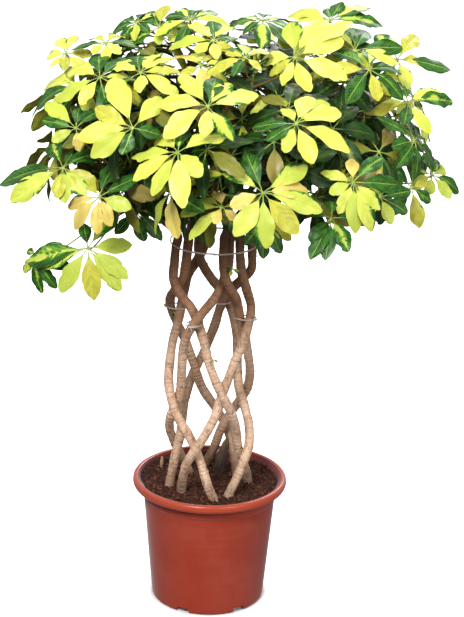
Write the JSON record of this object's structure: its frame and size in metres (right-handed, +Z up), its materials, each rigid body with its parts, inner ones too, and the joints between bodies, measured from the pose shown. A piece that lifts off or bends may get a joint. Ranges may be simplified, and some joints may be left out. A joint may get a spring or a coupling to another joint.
{
  "type": "potted umbrella plant",
  "caption": "Variegated umbrella plant with stems woven into an open lattice trunk, under a round crown of star-shaped leaves, in a terracotta-coloured nursery pot.",
  "frame": {"origin": "centre of the pot's underside, on the surface that it stands on", "axes": "+Z up along the trunk, -Y towards the front seen in the picture, +X to that view's right"},
  "size_m": [0.6433, 0.5815, 0.9339],
  "materials": {
    "pot_plastic": "satin terracotta-coloured plastic with a soft vertical sheen",
    "soil": "rough dark peat with bark chips and fibres",
    "bark": "pale matt bark with leaf-scar rings, darker towards the top",
    "foliage": "glossy leaf cuticle, creamy yellow with green margins and blotches",
    "string": "pale twisted string",
    "dry_leaf": "matt dry leaf"
  },
  "bodies": {
    "root": {"pot": "pot_plastic", "soil": "soil", "dry_leaf": "dry_leaf", "band": "string", "stem_1": "bark", "stem_2": "bark", "stem_3": "bark", "stem_4": "bark", "stem_5": "bark", "stem_6": "bark", "stem_7": "bark", "stem_8": "bark", "leafy_shoot_1": "foliage", "leafy_shoot_2": "foliage", "leafy_shoot_3": "foliage", "leafy_shoot_4": "foliage", "leafy_shoot_5": "foliage", "leafy_shoot_6": "foliage", "leafy_shoot_7": "foliage", "leafy_shoot_8": "foliage", "leafy_shoot_9": "foliage", "leafy_shoot_10": "foliage", "leafy_shoot_11": "foliage", "leafy_shoot_12": "foliage", "leafy_shoot_13": "foliage", "leafy_shoot_14": "foliage", "leafy_shoot_15": "foliage", "leafy_shoot_16": "foliage", "tie_1": "string", "tie_2": "string", "tie_3": "string", "tie_4": "string"}
  },
  "joints": []
}
